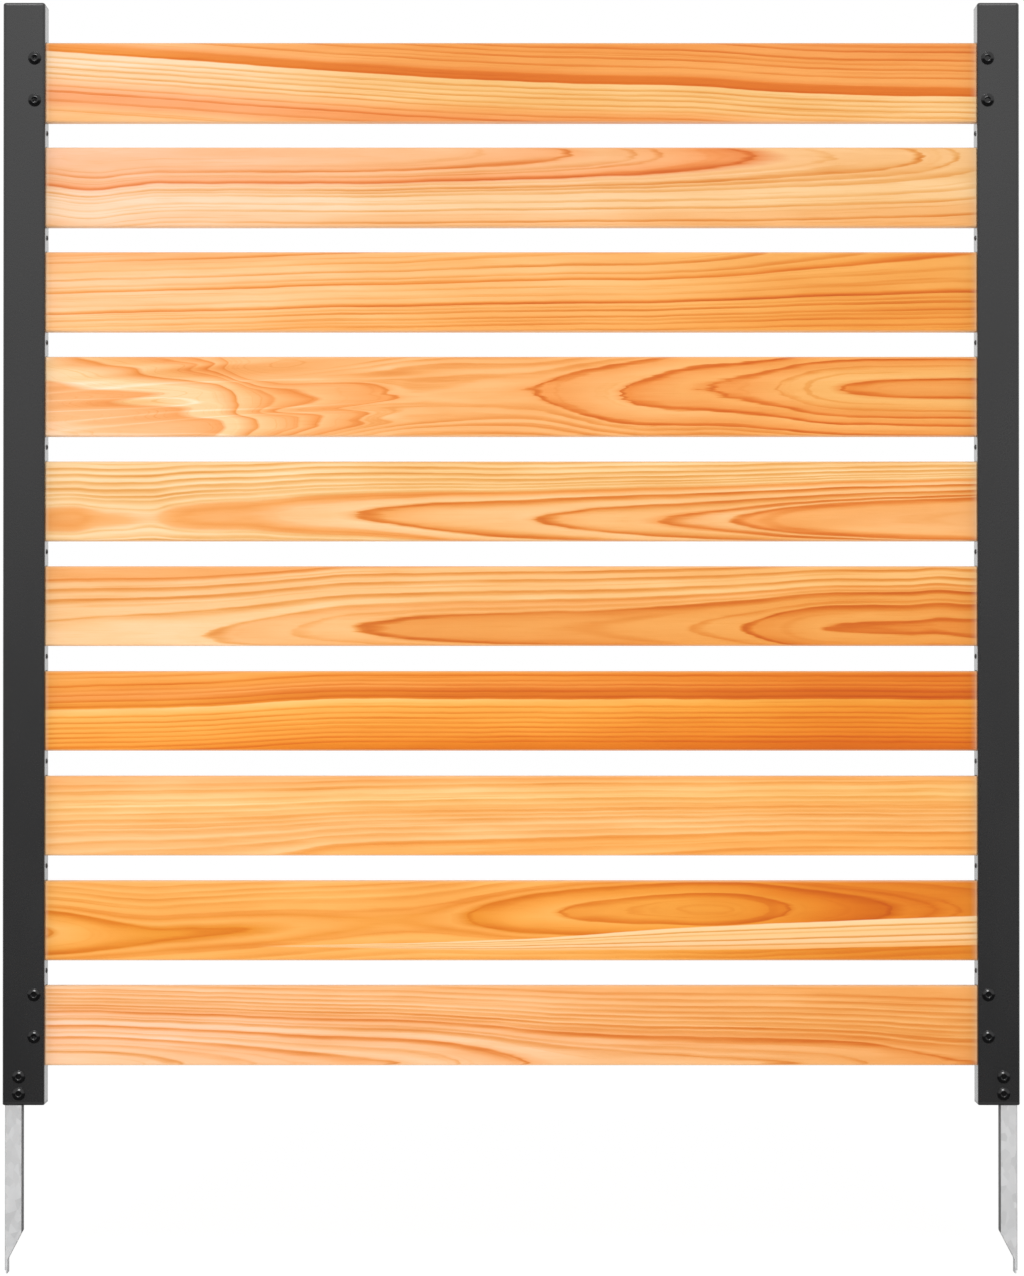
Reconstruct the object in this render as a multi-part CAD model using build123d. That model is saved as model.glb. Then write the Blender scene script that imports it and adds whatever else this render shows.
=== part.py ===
from build123d import *
from math import atan, tan
import os

# Privacy fence panel: wooden slats held between two square steel posts on ground stakes.
# Millimetres. X runs along the panel, Y from its front to its back, Z up.
# The origin lies on the ground line, midway between the posts.

# Posts
clear_width = 888.0          # between the two posts
post_width = 40.0            # along the panel
post_depth = 40.0            # front to back
post_wall = 1.5
post_corner_radius = 3.0
least_inner_radius = 0.3     # smallest bend left inside a tube's corner

# Slats
slat_count = 10
slat_height = 76.0
slat_thickness = 18.0
slat_gap = 24.0
slat_edge_radius = 2.5
end_margin = 37.0            # from a post's end to the nearest slat
slot_side_clearance = 0.4    # before and behind a slat
slot_top_clearance = 0.6     # above a slat, which sits on the slot's sill

# Holes for small plugs in the posts' inner walls, one beside each gap
plug_hole_diameter = 4.2
plug_hole_rise = 2.0         # above the middle of the gap

# Caps at the posts' ends
cap_head = 3.0
cap_edge_radius = 2.5
foot_edge_chamfer = 0.8
cap_skirt_length = 14.0
cap_skirt_wall = 1.8
cap_skirt_gap = 0.5          # between the skirt and the tube
cap_ridge_count = 3          # ridges on the skirt that grip the tube
cap_ridge_height = 1.2

# Ground stakes
stake_width = 16.5           # along the panel
stake_depth = 20.0           # front to back
stake_wall = 1.2
stake_corner_radius = 1.5
stake_reach = 160.0          # below the ground line
stake_grip = 140.0           # inside the post
stake_side_clearance = 0.8   # to the post's outer wall
stake_hole_clearance = 0.3   # around the stake in the foot cap
slat_stake_clearance = 1.2   # from a slat's end to the stake
blade_length = 13.0          # the pinched end of the stake
blade_step = 3.0             # the outer layer of the blade ends this much higher
tip_taper = 27.0             # height of the slanted stretch above the blade
stake_fold_radius = 3.0      # outside radius of the bend at the top of the slant

# Screws
screw_flange_diameter = 12.4
screw_flange_height = 1.0
screw_dome_diameter = 9.6    # where the head rises from its flange
screw_crown_diameter = 6.4   # at the top of the head, around the socket
screw_head_height = 2.8
screw_socket_width = 4.0     # across flats
screw_socket_depth = 1.5
screw_hole_clearance = 0.4   # on the diameter, in the post's front wall
slat_screw_diameter = 5.0
slat_screw_spacing = 40.0
top_screw_rise = 2.0         # pair's middle above the top slat's middle
bottom_screw_rise = 10.0     # pair's middle above the bottom slat's middle
screw_back_cover = 5.0       # wood left behind a screw's tip
stake_screw_diameter = 3.9
stake_screw_spacing = 16.2
stake_screw_foot = 10.7      # from the ground line to the lower stake screw
stake_screw_clearance = 0.15  # from a screw's side to the stake's inner wall

# Sizes that follow
slat_pitch = slat_height + slat_gap
post_height = 2 * end_margin + slat_count * slat_height + (slat_count - 1) * slat_gap
tube_bottom = cap_head
tube_top = post_height - cap_head
tube_width = post_width - 2 * post_wall
tube_depth = post_depth - 2 * post_wall
tube_radius = max(post_corner_radius - post_wall, least_inner_radius)
inner_face = clear_width / 2
outer_face = inner_face + post_width
post_middle = inner_face + post_width / 2
front_face = -post_depth / 2
front_wall_inside = front_face + post_wall
stake_side_gap = max(tube_radius - stake_corner_radius, 0.0) + stake_side_clearance
stake_outside = outer_face - post_wall - stake_side_gap
stake_inside = stake_outside - stake_width
stake_middle = (stake_outside + stake_inside) / 2
stake_y = front_wall_inside + stake_depth / 2
stake_inner_radius = max(stake_corner_radius - stake_wall, least_inner_radius)
slat_end = stake_inside - slat_stake_clearance
slat_screw_x = (inner_face + slat_end) / 2
stake_screw_x = stake_inside + stake_wall + stake_screw_clearance + stake_screw_diameter / 2
slat_screw_length = slat_thickness / 2 - screw_back_cover - front_face
stake_screw_length = post_wall + stake_depth / 2


def slat_middle(index):
    """Height of a slat's middle; slat 0 is the top one."""
    return post_height - end_margin - slat_height / 2 - index * slat_pitch


def pair(middle, spacing):
    """Two heights, spacing apart, about a middle."""
    return middle + spacing / 2, middle - spacing / 2


top_screw_heights = pair(slat_middle(0) + top_screw_rise, slat_screw_spacing)
bottom_screw_heights = pair(slat_middle(slat_count - 1) + bottom_screw_rise, slat_screw_spacing)
slat_screw_heights = top_screw_heights + bottom_screw_heights
stake_screw_heights = pair(stake_screw_foot + stake_screw_spacing / 2, stake_screw_spacing)


def upright_bar(width, depth, radius, bottom, top):
    """A bar of rounded rectangular section on the Z axis, from one height to another."""
    section = Plane.XY.offset(bottom) * RectangleRounded(width, depth, radius)
    return extrude(section, top - bottom)


def plug_bar(width, depth, bottom, top):
    """A bar of rectangular section, its corners cut to clear the bends inside the tube."""
    outline = Rectangle(width, depth)
    outline = chamfer(outline.vertices(), tube_radius)
    return extrude(Plane.XY.offset(bottom) * outline, top - bottom)


def front_hole(diameter, x, z, start, end):
    """A round cutter along Y, from one depth to another."""
    section = Plane((x, start, z), z_dir=(0, 1, 0)) * Circle(diameter / 2)
    return extrude(section, end - start)


def inner_wall_cutter(section, y, z):
    """A cutter through a post's inner wall, with its section standing in the YZ plane."""
    wall_middle = inner_face + post_wall / 2
    place = Plane((wall_middle, y, z), x_dir=(0, 1, 0), z_dir=(1, 0, 0))
    return extrude(place * section, post_wall, both=True)


def make_post():
    """The right post: a square tube slotted for the slats and drilled for the screws."""
    outer = upright_bar(post_width, post_depth, post_corner_radius, tube_bottom, tube_top)
    bore = upright_bar(tube_width, tube_depth, tube_radius, tube_bottom, tube_top)
    tube = Pos(post_middle, 0, 0) * (outer - bore)

    slot_depth = slat_thickness + 2 * slot_side_clearance
    slot_height = slat_height + slot_top_clearance
    slot = Rectangle(slot_depth, slot_height)
    cutters = []
    for index in range(slat_count):
        slot_middle = slat_middle(index) + slot_top_clearance / 2
        cutters.append(inner_wall_cutter(slot, 0, slot_middle))

    plug_hole = Circle(plug_hole_diameter / 2)
    for index in range(slat_count - 1):
        gap_middle = slat_middle(index) - slat_pitch / 2
        cutters.append(inner_wall_cutter(plug_hole, 0, gap_middle + plug_hole_rise))

    past = front_face - post_wall
    inside = front_wall_inside + post_wall
    slat_hole = slat_screw_diameter + screw_hole_clearance
    for z in slat_screw_heights:
        cutters.append(front_hole(slat_hole, slat_screw_x, z, past, inside))
    stake_hole = stake_screw_diameter + screw_hole_clearance
    for z in stake_screw_heights:
        cutters.append(front_hole(stake_hole, stake_screw_x, z, past, inside))
    return tube - cutters


def make_slat(index):
    """One slat with eased long edges; the top and bottom slats take the screws."""
    z = slat_middle(index)
    board = Box(2 * slat_end, slat_thickness, slat_height)
    board = fillet(board.edges().filter_by(Axis.X), slat_edge_radius)
    board = Pos(0, 0, z) * board
    heights = []
    if index == 0:
        heights += top_screw_heights
    if index == slat_count - 1:
        heights += bottom_screw_heights
    front = -slat_thickness / 2
    tip = front_face + slat_screw_length
    for height in heights:
        for x in (-slat_screw_x, slat_screw_x):
            board -= front_hole(slat_screw_diameter, x, height, front, tip)
    return board


def cap_skirt(bottom, top):
    """The hollow skirt of a cap, with ridges as wide as the tube's bore."""
    skirt_width = tube_width - 2 * cap_skirt_gap
    skirt_depth = tube_depth - 2 * cap_skirt_gap
    skirt = plug_bar(skirt_width, skirt_depth, bottom, top)
    ridge_step = (top - bottom) / (cap_ridge_count + 1)
    for number in range(1, cap_ridge_count + 1):
        ridge_bottom = bottom + number * ridge_step - cap_ridge_height / 2
        ridge_top = ridge_bottom + cap_ridge_height
        skirt += plug_bar(tube_width, tube_depth, ridge_bottom, ridge_top)
    hollow_width = skirt_width - 2 * cap_skirt_wall
    hollow_depth = skirt_depth - 2 * cap_skirt_wall
    hollow = Plane.XY.offset(bottom) * Rectangle(hollow_width, hollow_depth)
    return skirt - extrude(hollow, top - bottom)


def make_post_cap():
    """The right post's top cap, rounded off above."""
    head = upright_bar(post_width, post_depth, post_corner_radius, tube_top, post_height)
    head = fillet(head.faces().sort_by(Axis.Z)[-1].edges(), cap_edge_radius)
    return Pos(post_middle, 0, 0) * (head + cap_skirt(tube_top - cap_skirt_length, tube_top))


def make_foot_cap():
    """The right post's foot cap, open at the front outer corner for the stake."""
    skirt_top = tube_bottom + cap_skirt_length
    head = upright_bar(post_width, post_depth, post_corner_radius, 0, tube_bottom)
    head = chamfer(head.faces().sort_by(Axis.Z)[0].edges(), foot_edge_chamfer)
    cap = Pos(post_middle, 0, 0) * (head + cap_skirt(tube_bottom, skirt_top))

    hole_width = stake_width + 2 * stake_hole_clearance
    hole_depth = stake_depth + 2 * stake_hole_clearance
    hole = upright_bar(hole_width, hole_depth, stake_corner_radius, 0, tube_bottom)
    cap -= Pos(stake_middle, stake_y, 0) * hole

    corner_width = outer_face - stake_inside + stake_hole_clearance
    corner_depth = stake_y + hole_depth / 2 - front_face
    corner = Box(corner_width, corner_depth, cap_skirt_length, align=(Align.MAX, Align.MIN, Align.MIN))
    return cap - Pos(outer_face, front_face, tube_bottom) * corner


def corner_near(face, x, z):
    """The corner of a profile that lies at a point of the XZ plane."""
    return face.vertices().sort_by_distance((x, 0, z))[0]


def make_stake():
    """The right stake: a tube whose inner wall is folded down a slant onto the outer wall."""
    tip = -stake_reach
    blade_top = tip + blade_length
    knee = blade_top + tip_taper
    blade_face = stake_outside - 2 * stake_wall
    outline = [
        (stake_outside, stake_grip),
        (stake_inside, stake_grip),
        (stake_inside, knee),
        (blade_face, blade_top),
        (blade_face, tip),
        (stake_outside, tip),
    ]
    side = make_face(Plane.XZ * Polyline(*outline, close=True))
    bends = [corner_near(side, stake_inside, knee), corner_near(side, blade_face, blade_top)]
    side = fillet(bends, stake_fold_radius)

    # The hollow follows the slant one wall further in.
    slant_angle = atan((stake_inside - blade_face) / (blade_top - knee))
    fold_rise = stake_wall * tan(slant_angle / 2)
    hollow_outline = [
        (stake_outside - stake_wall, stake_grip),
        (stake_inside + stake_wall, stake_grip),
        (stake_inside + stake_wall, knee + fold_rise),
        (stake_outside - stake_wall, blade_top + fold_rise),
    ]
    hollow_side = make_face(Plane.XZ * Polyline(*hollow_outline, close=True))
    inner_bend = corner_near(hollow_side, stake_inside + stake_wall, knee + fold_rise)
    hollow_side = fillet([inner_bend], max(stake_fold_radius - stake_wall, least_inner_radius))

    middle = Pos(stake_middle, stake_y, 0)
    bar = middle * upright_bar(stake_width, stake_depth, stake_corner_radius, tip, stake_grip)
    hollow_width = stake_width - 2 * stake_wall
    hollow_depth = stake_depth - 2 * stake_wall
    hollow = middle * upright_bar(hollow_width, hollow_depth, stake_inner_radius, tip, stake_grip)
    bar &= extrude(side, stake_depth + post_depth, both=True)
    hollow &= extrude(hollow_side, stake_depth + post_depth, both=True)
    stake = bar - hollow

    step = Box(stake_wall, stake_depth, blade_step, align=(Align.MAX, Align.CENTER, Align.MIN))
    stake -= Pos(stake_outside, stake_y, tip) * step
    for z in stake_screw_heights:
        inside = front_wall_inside + 2 * stake_wall
        stake -= front_hole(stake_screw_diameter, stake_screw_x, z, front_wall_inside, inside)
    return stake


def make_screw(diameter, length, x, z):
    """A plain-ended screw with a flanged button head and a hexagon socket, seated on a post."""
    radius = diameter / 2
    flange_radius = screw_flange_diameter / 2
    outline = [
        (0, screw_head_height),
        (0, -length),
        (radius, -length),
        (radius, 0),
        (flange_radius, 0),
        (flange_radius, screw_flange_height),
        (screw_dome_diameter / 2, screw_flange_height),
        (screw_crown_diameter / 2, screw_head_height),
    ]
    screw = revolve(make_face(Plane.XZ * Polyline(*outline, close=True)), Axis.Z)
    socket = RegularPolygon(screw_socket_width / 2, 6, major_radius=False)
    socket_bottom = screw_head_height - screw_socket_depth
    screw -= extrude(Plane.XY.offset(socket_bottom) * socket, screw_socket_depth)
    return Pos(x, front_face, z) * Rot(X=90) * screw


def make_screws(diameter, length, distance, heights):
    """A column of like screws in each post, at a distance from the panel's middle."""
    columns = (-distance, distance)
    return [make_screw(diameter, length, x, z) for x in columns for z in heights]


def write_node(name, solids):
    """Write one node's solids to its own STEP file."""
    node = Compound(children=solids) if len(solids) > 1 else solids[0]
    node.label = name
    export_step(node, os.path.join("parts", name + ".step"))


def write_both_sides(name, solid):
    """Write a right-hand solid, and its mirror image on the left."""
    write_node("left_" + name, [mirror(solid, about=Plane.YZ)])
    write_node("right_" + name, [solid])


os.makedirs("parts", exist_ok=True)
write_both_sides("post", make_post())
write_both_sides("post_cap", make_post_cap())
write_both_sides("foot_cap", make_foot_cap())
write_both_sides("stake", make_stake())
for slat_index in range(slat_count):
    write_node(f"slat_{slat_index + 1:02d}", [make_slat(slat_index)])
slat_screws = make_screws(slat_screw_diameter, slat_screw_length, slat_screw_x, slat_screw_heights)
write_node("slat_screws", slat_screws)
stake_screws = make_screws(stake_screw_diameter, stake_screw_length, stake_screw_x, stake_screw_heights)
write_node("stake_screws", stake_screws)
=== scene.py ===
# %% [markdown]
# A privacy fence panel: ten wooden slats pushed into two dark steel posts,
# which stand on two galvanised ground stakes. The shapes come from the CAD
# frame, so this lesson is mostly about finishes: pine that shows where it was
# sawn from the trunk, powder coat, zinc, and small black screws. Everything is
# in metres, the front looks toward -Y, and z = 0 is the ground line.

# %% Load the frame
import math
from collections import namedtuple

import bmesh
import bpy
from mathutils import Matrix, Vector


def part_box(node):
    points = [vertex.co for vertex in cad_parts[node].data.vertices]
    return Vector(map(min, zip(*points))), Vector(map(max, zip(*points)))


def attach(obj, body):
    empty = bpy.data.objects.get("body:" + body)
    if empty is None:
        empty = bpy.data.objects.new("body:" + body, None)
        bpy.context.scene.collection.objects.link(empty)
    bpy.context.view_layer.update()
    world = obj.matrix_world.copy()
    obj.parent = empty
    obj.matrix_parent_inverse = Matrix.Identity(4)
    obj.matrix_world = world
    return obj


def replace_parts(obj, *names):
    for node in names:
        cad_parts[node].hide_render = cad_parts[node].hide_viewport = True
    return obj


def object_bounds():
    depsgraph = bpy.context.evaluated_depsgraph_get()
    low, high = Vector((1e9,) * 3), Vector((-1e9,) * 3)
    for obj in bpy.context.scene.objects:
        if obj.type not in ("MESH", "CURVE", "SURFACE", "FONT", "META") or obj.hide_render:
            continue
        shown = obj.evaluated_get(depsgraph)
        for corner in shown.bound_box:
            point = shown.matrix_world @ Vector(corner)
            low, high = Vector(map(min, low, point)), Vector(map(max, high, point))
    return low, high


MM = 0.001
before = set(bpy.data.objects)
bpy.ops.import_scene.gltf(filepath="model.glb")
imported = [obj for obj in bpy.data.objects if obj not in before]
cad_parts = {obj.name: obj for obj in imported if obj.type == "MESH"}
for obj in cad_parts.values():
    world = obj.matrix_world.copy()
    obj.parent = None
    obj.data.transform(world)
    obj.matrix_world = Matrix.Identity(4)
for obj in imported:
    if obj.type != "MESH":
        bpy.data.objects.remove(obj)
cad_low, cad_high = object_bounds()
print("CAD box", [round(value, 4) for value in (*cad_low, *cad_high)])

# %% [markdown]
# The photograph was taken square on, from far away with a long lens: the two
# posts show only a few millimetres of their inner sides. A camera at 4.9 m
# from the posts with a 145 mm lens gives the same thin slivers. It stands a
# little below the middle and looks up by half a degree, which spreads the posts'
# feet by a pixel or two as in the photograph, so no shift is needed.

# %% Camera
CAMERA_PLACE = (0.0008, -4.92, 0.3999)
CAMERA_LENS = 145.24
CAMERA_TILT = 0.52
SENSOR_WIDTH = 36.0

camera_data = bpy.data.cameras.new("camera")
camera_data.lens = CAMERA_LENS
camera_data.sensor_width = SENSOR_WIDTH
camera = bpy.data.objects.new("camera", camera_data)
camera.location = CAMERA_PLACE
camera.rotation_euler = (math.radians(90 + CAMERA_TILT), 0, 0)
bpy.context.scene.collection.objects.link(camera)
bpy.context.scene.camera = camera
bpy.context.scene.view_settings.view_transform = "Standard"
print("camera lens", camera_data.lens, "mm")

# %% [markdown]
# A material in Blender is a graph of nodes. Written out link by link it is
# hard to read, so one small class wraps the output of a node: adding or
# multiplying two wires adds a Math node, and `add` makes any other node. The
# settings of a node come first, then the values or wires for its sockets.

# %% Wires: shader maths as plain expressions
class Wire:
    """One output of a shader node; arithmetic on it adds Math nodes."""

    def __init__(self, tree, socket=None):
        self.tree = tree
        self.socket = socket

    def add(self, kind, settings=None, sockets=None, output=0):
        node = self.tree.nodes.new(kind)
        for name, value in (settings or {}).items():
            if name == "stops":
                set_stops(node.color_ramp, value)
            elif name == "points":
                set_points(node.mapping, value)
            else:
                setattr(node, name, value)
        for name, value in (sockets or {}).items():
            if isinstance(value, Wire):
                self.tree.links.new(value.socket, node.inputs[name])
            else:
                node.inputs[name].default_value = value
        return Wire(self.tree, node.outputs[output])

    def out(self, name):
        return Wire(self.tree, self.socket.node.outputs[name])

    def math(self, operation, first, second=0.0):
        return self.add("ShaderNodeMath", {"operation": operation}, {0: first, 1: second})

    def __add__(self, other):
        return self.math("ADD", self, other)

    def __sub__(self, other):
        return self.math("SUBTRACT", self, other)

    def __rsub__(self, other):
        return self.math("SUBTRACT", other, self)

    def __mul__(self, other):
        return self.math("MULTIPLY", self, other)

    def __truediv__(self, other):
        return self.math("DIVIDE", self, other)

    def __pow__(self, other):
        return self.math("POWER", self, other)

    def larger(self, other):
        return self.math("MAXIMUM", self, other)

    __radd__ = __add__
    __rmul__ = __mul__


def set_stops(ramp, stops):
    """Give a colour ramp its (position, colour) stops."""
    while len(ramp.elements) < len(stops):
        ramp.elements.new(1.0)
    for element, (position, colour) in zip(ramp.elements, stops):
        element.position = position
        element.color = colour


def set_points(mapping, points):
    """Give a float curve its (x, y) points, eased without overshoot."""
    curve = mapping.curves[0]
    while len(curve.points) < len(points):
        curve.points.new(1.0, 1.0)
    for point, place in zip(curve.points, points):
        point.location = place
        point.handle_type = "AUTO_CLAMPED"
    mapping.update()


print("wires ready")

# %% [markdown]
# A few helpers make the materials below short: colours written as on a screen,
# blends and soft steps, noise with blobs of a size in millimetres, and an empty
# material whose shader is then fed. Noise is read at the place of a point on the
# object, so the pattern is solid: it runs through a piece and round its edges.

# %% Helpers for colour, noise and relief
def paint(code):
    """A screen colour such as F6A064 as the light values a shader works in."""
    screen = [int(code[at:at + 2], 16) / 255 for at in (0, 2, 4)]
    light = [
        part / 12.92 if part <= 0.04045 else ((part + 0.055) / 1.055) ** 2.4
        for part in screen
    ]
    return (*light, 1.0)


def blend(amount, first, second, mode="MIX"):
    """Mix two colours; amount 0 shows the first."""
    wire = next(part for part in (amount, first, second) if isinstance(part, Wire))
    settings = {"data_type": "RGBA", "blend_type": mode}
    return wire.add("ShaderNodeMix", settings, {0: amount, 6: first, 7: second}, 2)


def smooth(wire, low, high):
    """0 below low, 1 above high, eased in between."""
    settings = {"interpolation_type": "SMOOTHSTEP"}
    return wire.add("ShaderNodeMapRange", settings, {0: wire, 1: low, 2: high})


def stretched(place, size):
    """The place divided by a grain size in millimetres along x, y and z."""
    scale = [1 / (length * MM) for length in size]
    return place.add("ShaderNodeVectorMath", {"operation": "MULTIPLY"}, {0: place, 1: scale})


def shifted(place, offset):
    return place.add("ShaderNodeVectorMath", {"operation": "ADD"}, {0: place, 1: offset})


def noise(place, size, detail=2.0, roughness=0.5):
    """Soft noise from about -1 to 1 with blobs of the given size."""
    sockets = {"Vector": stretched(place, size), "Scale": 1.0, "Detail": detail, "Roughness": roughness}
    return place.add("ShaderNodeTexNoise", None, sockets) * 2.0 - 1.0


def new_material(name):
    """An empty material: its tree, the Object coordinates and the shader."""
    material = bpy.data.materials.new(name)
    material.use_nodes = True
    tree = material.node_tree
    tree.nodes.clear()
    start = Wire(tree)
    place = start.add("ShaderNodeTexCoord", None, None, "Object")
    shader = tree.nodes.new("ShaderNodeBsdfPrincipled")
    output = tree.nodes.new("ShaderNodeOutputMaterial")
    tree.links.new(shader.outputs[0], output.inputs["Surface"])
    return material, place, shader


def feed(shader, name, wire):
    wire.tree.links.new(wire.socket, shader.inputs[name])


def bump(height, strength, distance):
    sockets = {"Height": height, "Strength": strength, "Distance": distance}
    return height.add("ShaderNodeBump", None, sockets, "Normal")


print("shader helpers ready")

# %% [markdown]
# The studio is white all round. The sky is pure white where the camera sees it
# and dimmer as a light, so the colours render about as they are written. What the
# glossy posts mirror is set on its own: bright behind the panel, which puts light
# on the inner sides of the posts, and in front falling from bright above to dark
# below, which makes the posts fade toward the foot, as in the photograph.

# %% Studio: the sky
AMBIENT = 0.40
GLOSS_BEHIND = 1.4
GLOSS_HIGH = 1.75
GLOSS_LOW = 0.08
LOW_TO_HIGH = (-0.03, 0.08)
FRONT_TO_BACK = (-0.1, 0.4)

world = bpy.data.worlds.new("studio")
bpy.context.scene.world = world
world.use_nodes = True
sky_tree = world.node_tree
sky_tree.nodes.clear()
sky = Wire(sky_tree)
ray = sky.add("ShaderNodeLightPath", None, None, "Is Camera Ray")
way = sky.add("ShaderNodeTexCoord", None, None, "Generated")
way_y = sky.add("ShaderNodeSeparateXYZ", None, {0: way}, "Y")
in_front = GLOSS_LOW + smooth(way_y.out("Z"), *LOW_TO_HIGH) * (GLOSS_HIGH - GLOSS_LOW)
mirrored = in_front + smooth(way_y, *FRONT_TO_BACK) * (GLOSS_BEHIND - in_front)
level = ray.out("Is Glossy Ray") * (mirrored - AMBIENT) + AMBIENT
level = level + ray * (1.0 - level)
lit_sky = sky.add("ShaderNodeBackground", None, {"Color": (1, 1, 1, 1), "Strength": level})
sky_out = sky_tree.nodes.new("ShaderNodeOutputWorld")
sky_tree.links.new(lit_sky.socket, sky_out.inputs["Surface"])
print("sky light", AMBIENT)

# %% [markdown]
# The floor is one large pale plane just under the tips of the stakes. It treats
# three kinds of ray apart, which Light Path names. The camera sees a white glow
# with a little matt shading on it, which keeps the panel's shadow. Mirrored in the
# posts it is dim in front of the panel and bright behind. To all other light it is
# a pale matt floor with a faint glow, which lifts the slats' lower edges.

# %% Studio: the floor
FLOOR_SIZE = 40.0
FLOOR_GAP = 0.0005
FLOOR_GLOW = 0.95
FLOOR_SHADE = 0.12
FLOOR_BOUNCE = 0.80
FLOOR_LIGHT = 0.35
FLOOR_MIRRORED_IN_FRONT = 0.15
FLOOR_MIRRORED_BEHIND = 1.2
FLOOR_CHANGE = (0.0, 0.5)

floor_mesh = bpy.data.meshes.new("floor")
floor_bm = bmesh.new()
bmesh.ops.create_grid(floor_bm, x_segments=1, y_segments=1, size=FLOOR_SIZE)
bmesh.ops.translate(floor_bm, verts=floor_bm.verts, vec=(0, 0, cad_low[2] - FLOOR_GAP))
floor_bm.to_mesh(floor_mesh)
floor_bm.free()
floor = bpy.data.objects.new("floor", floor_mesh)
bpy.context.scene.collection.objects.link(floor)

floor_material = bpy.data.materials.new("pale_floor")
floor_material.use_nodes = True
floor_tree = floor_material.node_tree
floor_tree.nodes.clear()
ground = Wire(floor_tree)


def glowing(strength):
    return ground.add("ShaderNodeEmission", None, {"Color": (1, 1, 1, 1), "Strength": strength})


def matt(grey):
    return ground.add("ShaderNodeBsdfDiffuse", None, {"Color": (grey, grey, grey, 1)})


def both(first, second):
    return ground.add("ShaderNodeAddShader", None, {0: first, 1: second})


seen = ground.add("ShaderNodeLightPath", None, None, "Is Camera Ray")
spot = ground.add("ShaderNodeTexCoord", None, None, "Object")
behind = smooth(ground.add("ShaderNodeSeparateXYZ", None, {0: spot}, "Y"), *FLOOR_CHANGE)
image = behind * (FLOOR_MIRRORED_BEHIND - FLOOR_MIRRORED_IN_FRONT) + FLOOR_MIRRORED_IN_FRONT
lighting = both(matt(FLOOR_BOUNCE), glowing(FLOOR_LIGHT))
unseen_sockets = {0: seen.out("Is Glossy Ray"), 1: lighting, 2: glowing(image)}
unseen = ground.add("ShaderNodeMixShader", None, unseen_sockets)
shown = both(glowing(FLOOR_GLOW), matt(FLOOR_SHADE))
mixed = ground.add("ShaderNodeMixShader", None, {0: seen, 1: unseen, 2: shown})
floor_out = floor_tree.nodes.new("ShaderNodeOutputMaterial")
floor_tree.links.new(mixed.socket, floor_out.inputs["Surface"])
floor_mesh.materials.append(floor_material)
print("floor at z", round(cad_low[2] - FLOOR_GAP, 4))

# %% [markdown]
# One softbox high in front lights the panel, a little from the left. It stands
# far off so that the top slat and the bottom slat get nearly the same light, and
# it is small enough to leave a clear bright spot on each screw.

# %% Studio: the softbox
KEY_PLACE = Vector((-0.3, -9.0, 6.0))
KEY_TARGET = Vector((0.0, 0.0, 0.5))
KEY_WIDTH = 3.2
KEY_HEIGHT = 2.4
KEY_POWER = 540.0

key_data = bpy.data.lights.new("softbox", "AREA")
key_data.shape = "RECTANGLE"
key_data.size = KEY_WIDTH
key_data.size_y = KEY_HEIGHT
key_data.energy = KEY_POWER
key = bpy.data.objects.new("softbox", key_data)
key.location = KEY_PLACE
key.rotation_euler = (KEY_TARGET - KEY_PLACE).to_track_quat("-Z", "Y").to_euler()
bpy.context.scene.collection.objects.link(key)
print("softbox", round((KEY_TARGET - KEY_PLACE).length, 2), "m away")

# %% [markdown]
# Pine shows its growth rings. A board sawn beside the middle of the trunk cuts
# them as long arches; a board from farther out cuts them as straight lines. So
# each slat gets its own piece of trunk: where the pith runs up and down along
# the slat (`pith`), and how far behind the face it lies (`depth`). The distance
# of any point from the pith is the ring it belongs to. Where the pith sinks
# away from the face, the rings close to an arch; no arch is drawn by hand.
#
# Distances are millimetres. `pith` and `depth` are (x, value) along the slat
# from its middle, `tones` are colours by ring, and `lines` are the dark
# latewood rings with their strength. A slat without a depth has its pith so
# far above that rings are straight: then a ring is the distance below the line.
#
# The rest sets one board apart from the next. `stain` says how deep the stain
# went at the left, middle and right, `bold` how strong the lines are there, and
# `soft` how wide they are. `feather` frays the rings along the grain, `lean` adds
# to them where the trunk was crooked, and `ripple` breaks them into layers. A
# `streak` is a dark band between two rings, and `sapwood` a pale wedge between
# an upper and a lower line.

# %% A slat as a piece of trunk
Slat = namedtuple(
    "Slat", "pith depth tones lines stain feather lean sapwood bold soft streak ripple",
    defaults=(0.25, None, None, (1, 1, 1), 1.0, None, None),
)
print("a slat is told by", len(Slat._fields), "values")

# %% [markdown]
# The top slat was sawn far from the pith: its lines run straight and fall to the
# right, with one dark streak among them. The second has thin arches along its upper
# half. The third is plain: its rings rise to the right and leave at the upper edge.

# %% Slats 1 to 3
slat_01 = Slat(
    pith=[(-464, 31), (-440, 29.6), (-164, 10.8), (3, 1), (170, -3.5), (294, -11.2), (464, -14.2)],
    depth=None,
    tones=[
        (-54, "F1A163"), (-30, "F4A964"), (-13, "F6AF6D"), (-10, "F2A15D"), (-8, "EE974A"),
        (-0.6, "EE9538"), (0.4, "FAD5A9"), (22, "FACE9D"), (29, "F9B980"),
        (38, "F4A167"), (46, "F4A369"), (55, "F9B97A"), (70, "F8B976"),
    ],
    lines=[
        (-51, 0.6), (-46, 0.3), (-41.5, 0.6), (-33.6, 0.65), (-29, 0.3), (-24, 0.55), (-16.5, 0.4),
        (-0.7, 0.3), (6.2, 0.5), (11, 0.35), (15.7, 0.5), (21.5, 0.5), (26, 0.3), (33, 0.35), (38.7, 0.6),
        (47, 0.35), (56, 0.3),
    ],
    stain=(-0.15, 0.7, 0.55),
    streak=(-8.2, 0.0, [(-464, 0), (-400, 0.05), (-300, 0.25), (-150, 0.35), (464, 0.4)]),
)
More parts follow.
